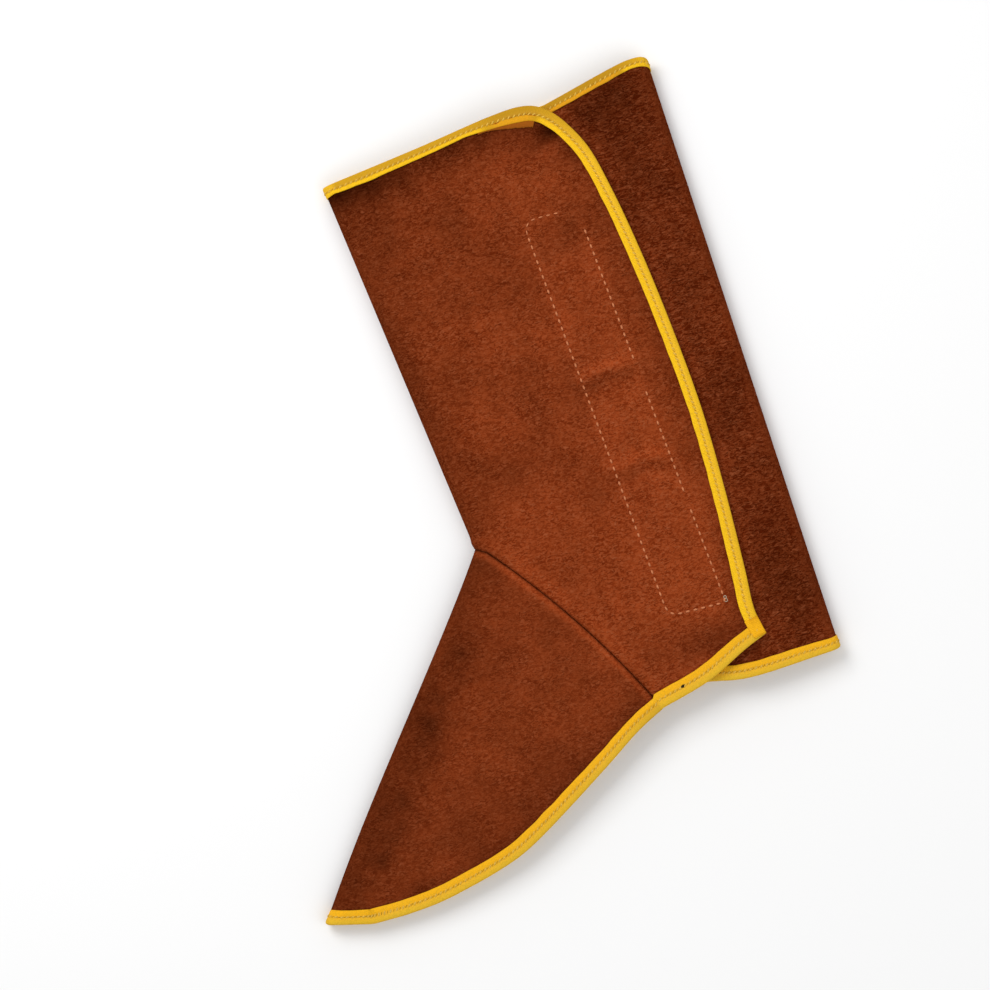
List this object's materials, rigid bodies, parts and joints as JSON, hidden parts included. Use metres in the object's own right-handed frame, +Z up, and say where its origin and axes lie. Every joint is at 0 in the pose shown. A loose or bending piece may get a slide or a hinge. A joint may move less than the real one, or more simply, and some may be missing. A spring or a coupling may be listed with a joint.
{
  "type": "welding spat",
  "caption": "Brown suede leather welding spat with yellow bound edges, a wrap flap closed by hook-and-loop tape and a folded vamp, lying closed on its side.",
  "frame": {"origin": "on the surface the spat lies on, under the middle of its box", "axes": "+Y up the leg towards the top hem, +X from the shin fold towards the calf fold, +Z up from the surface, towards the flap"},
  "size_m": [0.335, 0.4302, 0.024],
  "materials": {
    "suede_leather": "matt split-leather nap",
    "binding_tape": "woven cotton tape",
    "hook_and_loop": "napped nylon tape"
  },
  "bodies": {
    "root": {"shaft": "suede_leather", "vamp": "suede_leather", "top_binding": "binding_tape", "bottom_binding": "binding_tape", "hook_strip": "hook_and_loop", "loop_strip": "hook_and_loop"}
  },
  "joints": []
}
